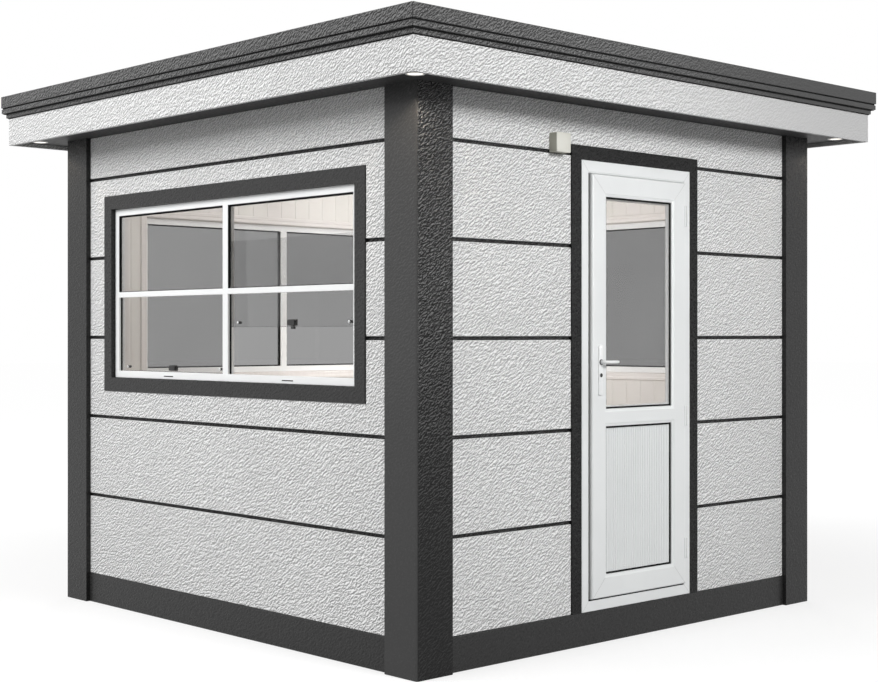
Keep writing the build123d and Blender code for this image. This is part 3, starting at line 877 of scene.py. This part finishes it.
KEYHOLE_RISE, SCREW_INSET = 1.182, 0.014
COLLAR = ((0.0118, -0.001), (0.0118, 0.0024), (0.0108, 0.0036), (0.0094, 0.0038), (0.0094, -0.001))
ESCUTCHEON = ((0.0118, -0.001), (0.0118, 0.0006), (0.0110, 0.0011), (0.0096, 0.0010), (0.0090, 0.0004))
KEYHOLE = ((0.0092, 0.0005), (0.0030, 0.0012), (0, 0.0012))
PLATE_SCREW = ((0.0042, -0.0008), (0.0042, 0.0003), (0.0036, 0.0007), (0, 0.0007))
# The lever's line as (run from the spindle, share of its reach), with its width and height there
LEVER_PATH = ((0.0, 0.15), (0.0, 0.40), (0.0006, 0.62), (0.0030, 0.80), (0.0085, 0.93), (0.0165, 0.99),
              (0.028, 1.0), (0.050, 1.0), (0.070, 0.99), (0.079, 0.985), (0.0842, 0.982),
              (LEVER_REACH, 0.982))
LEVER_SIZES = ((0.0170, 0.0170), (0.0165, 0.0165), (0.0160, 0.0160), (0.0152, 0.0154), (0.0142, 0.0148),
               (0.0132, 0.0142), (0.0122, 0.0138), (0.0114, 0.0136), (0.0110, 0.0134), (0.0102, 0.0128),
               (0.0080, 0.0104), (0.0030, 0.0046))


def door_furniture():
    """Handle plates with collars, keyholes and screws, and the levers, on both faces of the leaf."""
    bm = bmesh.new()
    for base, face in ((0.0, -PLATE_THICK), (LEAF_BACK, LEAF_BACK + PLATE_THICK)):
        rounded_plate(bm, FRONT, PLATE, (base, face), 0.008, 0.0025)
        out = FRONT.outward * (1 if face < base else -1)
        turned(bm, at(FRONT, SPINDLE_RUN, face, SPINDLE_RISE), out, COLLAR, 32, 1)
        key = at(FRONT, SPINDLE_RUN, face, KEYHOLE_RISE)
        turned(bm, key, out, ESCUTCHEON, 28)
        turned(bm, key, out, KEYHOLE, 28, 1)
        for rise in (PLATE.low + SCREW_INSET, PLATE.high - SCREW_INSET):
            turned(bm, at(FRONT, SPINDLE_RUN, face, rise), out, PLATE_SCREW, 20)
    piece("handle_plates_shaped", bm, "door", [white_metal, black_plastic], 0.0,
          ("handle_plates",), 45)

    levers = bmesh.new()
    for start, reach in ((0.0, -LEVER_OUT), (LEAF_BACK, LEVER_OUT)):
        points = [at(FRONT, SPINDLE_RUN + run, start + reach * share, SPINDLE_RISE)
                  for run, share in LEVER_PATH]
        tube(levers, points, LEVER_SIZES, 24)
    piece("lever_handles_shaped", levers, "handle", [white_metal], 0.0,
          ("lever_handles",), 60)


HINGE_LEVELS, HINGE_HALF, HINGE_RADIUS = (0.368, 0.984, 1.913), 0.048, 0.0045
HINGE_RUN, HINGE_DEPTH, HINGE_FLAP, HINGE_THICK = 0.3475, -0.0055, 0.008, 0.004


def hinge_half(bm, level, way, run, foot=None):
    """Half a barrel, above or below the level, with a flap that lies on the door or its frame."""
    gap = 0.0002
    barrel = [(0, gap), (HINGE_RADIUS - 0.0006, gap), (HINGE_RADIUS, gap + 0.0006),
              (HINGE_RADIUS, HINGE_HALF - 0.0012), (HINGE_RADIUS - 0.0014, HINGE_HALF), (0, HINGE_HALF)]
    turned(bm, at(FRONT, HINGE_RUN, HINGE_DEPTH, level), UP * way, barrel, 24)
    rise = sorted((level + way * gap, level + way * (HINGE_HALF - 0.001)))
    wall_box(bm, FRONT, run, (-HINGE_THICK, 0.0), rise)
    if foot:
        wall_box(bm, FRONT, foot, (0.0, FRAME_RECESS), rise)


def hinges():
    """Upper halves on the leaf, and lower halves on the frame with a strip of the leaf beside each."""
    on_leaf, on_frame = bmesh.new(), bmesh.new()
    end = PASSAGE.right + HINGE_FLAP
    for level in HINGE_LEVELS:
        hinge_half(on_leaf, level, 1, (LEAF.right - HINGE_FLAP, HINGE_RUN))
        strip = (LEAF.right - HINGE_FLAP, LEAF.right - 0.0007)
        wall_box(on_leaf, FRONT, strip, (-HINGE_THICK, 0.0), (level - HINGE_HALF, level - 0.0003))
        hinge_half(on_frame, level, -1, (HINGE_RUN, end), (end - 0.003, end))
    piece("door_hinges_leaf_shaped", on_leaf, "door", [white_metal], 0.0006,
          ("door_hinges_leaf",))
    piece("door_hinges_frame_shaped", on_frame, "cabin", [white_metal], 0.0006,
          ("door_hinges_frame",))


def door():
    door_leaf()
    ribbed_panel()
    door_furniture()
    softened("door_frame", 0.0025, white_frame)
    hinges()
    sealed_pane()
    door_edge_seals()
    door_casing()


def door_edge_seals():
    """A white strip at the top of the passage, and dark lips at its left edge and its sill: seals whose
    black also paints the shade of the gap there.
    """
    bm = bmesh.new()
    depth = (FRAME_RECESS + 0.0012, 0.040)
    lip, top = 0.0045, PASSAGE.high - 0.005
    inner = PASSAGE.left + lip
    wall_box(bm, FRONT, (PASSAGE.left, PASSAGE.right), depth, (top, PASSAGE.high))
    wall_box(bm, FRONT, (PASSAGE.left, inner), depth, (PASSAGE.low, top), 1)
    wall_box(bm, FRONT, (inner, PASSAGE.right), depth, (PASSAGE.low, PASSAGE.low + lip), 1)
    piece("door_edge_seals", bm, "cabin", [white_frame, black_rubber_and_gap_shade], 0.001)


def door_casing():
    """Moulding round the door on the room side, open at the floor."""
    bm = bmesh.new()
    face, back = lining_face, 0.0865
    steps = [(-0.060, face), (-0.060, face + 0.012), (-0.054, face + 0.016), (-0.020, face + 0.016),
             (-0.016, face + 0.011), (0.010, face + 0.011), (0.014, face + 0.006), (0.014, back),
             (0.001, back), (0.001, face)]
    lifted = Rect(DOOR_FRAME.left, DOOR_FRAME.right, floor_top + CASING_CLEAR, DOOR_FRAME.high)
    sweep_ring(bm, FRONT, lifted, steps, bars=(1, 2, 3))
    piece("door_casing", bm, "cabin", [pale_lining], 0.0008)


# Room


BOARD_PITCH, BOARD_THICK, BOARD_EASE = 0.099, 0.005, 0.0009
SKIRTING_HIGH, SKIRTING_THICK = 0.060, 0.012
CORNICE_DROP, CORNICE_THICK = 0.028, 0.018


def board(bm, place, start, stop, low, high, tints):
    """One board with eased long edges. place turns (across, out, along) to a point."""
    gap = 0.0003
    a, b = start + gap, stop - gap
    section = [(a, 0), (a, BOARD_THICK - BOARD_EASE), (a + BOARD_EASE, BOARD_THICK),
               (b - BOARD_EASE, BOARD_THICK), (b, BOARD_THICK - BOARD_EASE), (b, 0)]
    loops = [[bm.verts.new(place(across, out, along)) for across, out in section]
             for along in (low, high)]
    tint = rng.random()
    for face in [bm.faces.new(loop) for loop in loops] + skin(bm, *loops):
        face[tints] = tint


def spaced(start, stop):
    """The edges of boards of one width that fill a run."""
    count = max(1, round((stop - start) / BOARD_PITCH))
    edges = [start + (stop - start) * i / count for i in range(count + 1)]
    return list(zip(edges, edges[1:]))


def wall_boards(side, hole):
    """Upright boards of one wall round its window or door."""
    bm = bmesh.new()
    tints = bm.faces.layers.float.new("board_tint")

    def place(run, out, rise):
        return at(side, run, lining_face + out, rise)

    for start, stop in spaced(-room_half, hole.left) + spaced(hole.right, room_half):
        board(bm, place, start, stop, floor_top, ceiling, tints)
    for start, stop in spaced(hole.left, hole.right):
        board(bm, place, start, stop, hole.high, ceiling, tints)
        if hole.low > floor_top:
            board(bm, place, start, stop, floor_top, hole.low, tints)
    piece(f"{side.name}_wall_boards", bm, "cabin", [pale_lining], smooth=20)


def room():
    """Boards of the walls and ceiling, skirting and cornice."""
    for side in WINDOW_SIDES:
        wall_boards(side, WINDOW_FRAME)
    wall_boards(FRONT, DOOR_FRAME)
    bm = bmesh.new()
    tints = bm.faces.layers.float.new("board_tint")
    reach = room_half - BOARD_THICK
    for start, stop in spaced(-reach, reach):
        board(bm, lambda x, out, y: Vector((x, y, ceiling - out)), start, stop, -reach, reach, tints)
    piece("ceiling_boards", bm, "cabin", [pale_lining], smooth=20)
    bm = bmesh.new()
    face = lining_face + BOARD_THICK
    whole = (-reach, reach)
    beside_door = ((-reach, DOOR_FRAME.left - CASING_CLEAR), (DOOR_FRAME.right + CASING_CLEAR, reach))
    skirting_rise = (floor_top, floor_top + SKIRTING_HIGH)
    cornice_rise = (ceiling - CORNICE_DROP, ceiling - BOARD_THICK)
    for side in SIDES:
        for run in beside_door if side is FRONT else (whole,):
            wall_box(bm, side, run, (face, face + SKIRTING_THICK), skirting_rise)
        wall_box(bm, side, whole, (face, face + CORNICE_THICK), cornice_rise)
    piece("skirting_and_cornice", bm, "cabin", [pale_lining], 0.004)


# Small parts


LAMP_PLACES = (-1.449, 1.449)
LAMP_SPOTS = [Vector((x, y, ceiling)) for x in LAMP_PLACES for y in LAMP_PLACES]
LAMP_RIM = ((0.040, 0.0), (0.040, 0.0022), (0.0385, 0.0040), (0.0360, 0.0046), (0.0335, 0.0040),
            (0.0318, 0.0014))
LAMP_LENS = ((0.0320, 0.0016), (0.020, 0.0024), (0.0, 0.0027))
BOX_SCREW, BOX_SCREW_INSET = ((0.0038, -0.0006), (0.0038, 0.0002), (0.0032, 0.0006), (0, 0.0006)), 0.010


def downlights():
    """A rim and a lens under each corner of the soffit."""
    bm = bmesh.new()
    for spot in LAMP_SPOTS:
        turned(bm, spot, -UP, LAMP_RIM, 40)
        turned(bm, spot, -UP, LAMP_LENS, 40, 1)
    piece("downlights_shaped", bm, "cabin", [white_metal, lamp], 0.0, ("downlights",), 60)


def junction_box():
    """A pale lid with four screws on a darker body, whose darker colour paints the shade on the box's
    sides.
    """
    low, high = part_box("junction_box")
    rect = Rect(low.x, high.x, low.z, high.z)
    base, face = body_half + high.y, body_half + low.y
    bm = bmesh.new()
    rounded_plate(bm, FRONT, grown(rect, -0.0006), (base, face + 0.0040), 0.004, 0.0006, 1)
    rounded_plate(bm, FRONT, rect, (face + 0.0045, face), 0.005, 0.0018)
    for run, rise in corners_of(rect, BOX_SCREW_INSET):
        turned(bm, at(FRONT, run, face, rise), FRONT.outward, BOX_SCREW, 18)
    piece("junction_box_shaped", bm, "cabin", [beige_plastic, painted_shade_body], 0.0,
          ("junction_box",), 45)


# Stage, light and view


def stage_floor():
    """A wide pale floor that looks white and keeps the shadow."""
    n = Nodes("stage_floor")
    path = n.add("ShaderNodeLightPath").outputs
    seen = n.math("MAXIMUM", path["Is Camera Ray"], path["Is Glossy Ray"])
    seen = n.math("MAXIMUM", seen, path["Is Transmission Ray"])
    cloud = n.noise(n.place(), 0.8, 2.0, 0.5)
    matt = n.add("ShaderNodeBsdfDiffuse", {"Color": n.blend(cloud, grey(0.30), grey(0.32))})
    far = n.add("ShaderNodeVectorMath", {0: n.place()}, operation="LENGTH").outputs["Value"]
    glow = n.math("MULTIPLY", seen, n.spread(far, 2.0, 7.0, 0.70, 0.90))
    lift = n.add("ShaderNodeEmission", {"Color": grey(1.0), "Strength": glow})
    both = n.add("ShaderNodeAddShader", {0: matt.outputs[0], 1: lift.outputs[0]})
    n.tree.links.new(both.outputs[0], n.output.inputs["Surface"])
    bm = bmesh.new()
    reach = 60.0
    bm.faces.new([bm.verts.new((x, y, -0.001)) for x, y in
                  ((-reach, -reach), (reach, -reach), (reach, reach), (-reach, reach))])
    floor = new_object("stage_floor", bm, [n.material])


def world_light(level):
    """White where it is seen, and a soft light of the given level on surfaces."""
    world = bpy.data.worlds.new("studio")
    bpy.context.scene.world = world
    world.use_nodes = True
    tree = world.node_tree
    tree.nodes.clear()
    path = tree.nodes.new("ShaderNodeLightPath").outputs
    seen = path["Is Camera Ray"]
    for kind in ("Is Glossy Ray", "Is Transmission Ray"):
        either = tree.nodes.new("ShaderNodeMath")
        either.operation = "MAXIMUM"
        tree.links.new(seen, either.inputs[0])
        tree.links.new(path[kind], either.inputs[1])
        seen = either.outputs[0]
    strength = tree.nodes.new("ShaderNodeMapRange")
    tree.links.new(seen, strength.inputs["Value"])
    strength.inputs["To Min"].default_value = level
    strength.inputs["To Max"].default_value = 1.0
    background = tree.nodes.new("ShaderNodeBackground")
    background.inputs["Color"].default_value = (1, 1, 1, 1)
    tree.links.new(strength.outputs["Result"], background.inputs["Strength"])
    output = tree.nodes.new("ShaderNodeOutputWorld")
    tree.links.new(background.outputs[0], output.inputs["Surface"])


def area_light(name, place, target, size, power, diffuse=True, glossy=True):
    """A rectangular lamp that points at a target and may leave out matt or glossy surfaces."""
    data = bpy.data.lights.new(name, "AREA")
    data.shape = "RECTANGLE"
    data.size, data.size_y = size
    data.energy = power
    obj = bpy.data.objects.new(name, data)
    obj.location = place
    aim = Vector(target) - Vector(place)
    obj.rotation_euler = aim.to_track_quat("-Z", "Y").to_euler()
    obj.visible_camera = False
    obj.visible_diffuse = diffuse
    obj.visible_glossy = glossy
    bpy.context.scene.collection.objects.link(obj)


def lights():
    world_light(0.30)
    area_light("left_soft", (-7.5, 1.6, 5.6), (-1.3, 0.0, 1.1), (6.0, 4.0), 535)
    area_light("left_card", (-6.96, 5.46, 2.05), (-1.3, -0.8, 1.7), (2.6, 2.6), 22)
    area_light("front_key", (-0.5, -8.9, 4.8), (0.0, -1.3, 1.2), (1.9, 1.9), 500)
    area_light("corner_fill", (-6.0, -8.0, 2.5), (-0.6, -1.3, 1.2), (3.0, 3.0), 45, glossy=False)
    area_light("left_low", (-9.0, 0.5, 1.4), (-1.3, 0.0, 1.9), (3.0, 3.0), 30, glossy=False)
    area_light("back_soft", (6.0, 6.5, 5.5), (1.0, 1.0, 1.2), (5.0, 4.0), 170, glossy=False)
    area_light("corner_glint", (0.835, -3.59, 2.25), (-1.25, -1.35, 1.95), (0.25, 1.6), 26,
               diffuse=False)
    area_light("room_soft", (0, 0.0, 2.2), (0, 1.25, 1.85), (1.8, 0.6), 15, glossy=False)
    area_light("room_to_back", (0, -1.0, 1.35), (0, 1.2, 1.35), (1.7, 1.7), 4, glossy=False)
    area_light("room_to_right", (-0.1, 0, 1.7), (1.2, 0, 1.7), (1.2, 1.0), 15, glossy=False)
    for i, spot in enumerate(LAMP_SPOTS):
        data = bpy.data.lights.new(f"downlight_{i}", "SPOT")
        data.energy = 4.0
        data.color = (1.0, 0.86, 0.68)
        data.spot_size = math.radians(138)
        data.spot_blend = 0.3
        data.shadow_soft_size = 0.03
        obj = bpy.data.objects.new(f"downlight_{i}", data)
        obj.location = spot - UP * 0.012
        bpy.context.scene.collection.objects.link(obj)


def view():
    """The camera of the photo, solved from it."""
    data = bpy.data.cameras.new("photo_view")
    image_width, focal_px, horizon_up_px = 878, 1546.12, 7.18
    data.sensor_fit = "HORIZONTAL"
    data.sensor_width = 36
    data.lens = focal_px / image_width * data.sensor_width
    data.shift_y = -horizon_up_px / image_width
    data.clip_end = 200
    camera = bpy.data.objects.new("photo_view", data)
    camera.location = (-5.4237, -5.8297, 1.3641)
    camera.rotation_euler = (math.radians(90), 0, math.radians(-43.098))
    bpy.context.scene.collection.objects.link(camera)
    bpy.context.scene.camera = camera
    bpy.context.scene.view_settings.view_transform = "Standard"


dress_shell()
coping()
roof_caps()
for wall in WINDOW_SIDES:
    window_details(wall)
latches()
door()
room()
downlights()
junction_box()
stage_floor()
lights()
view()
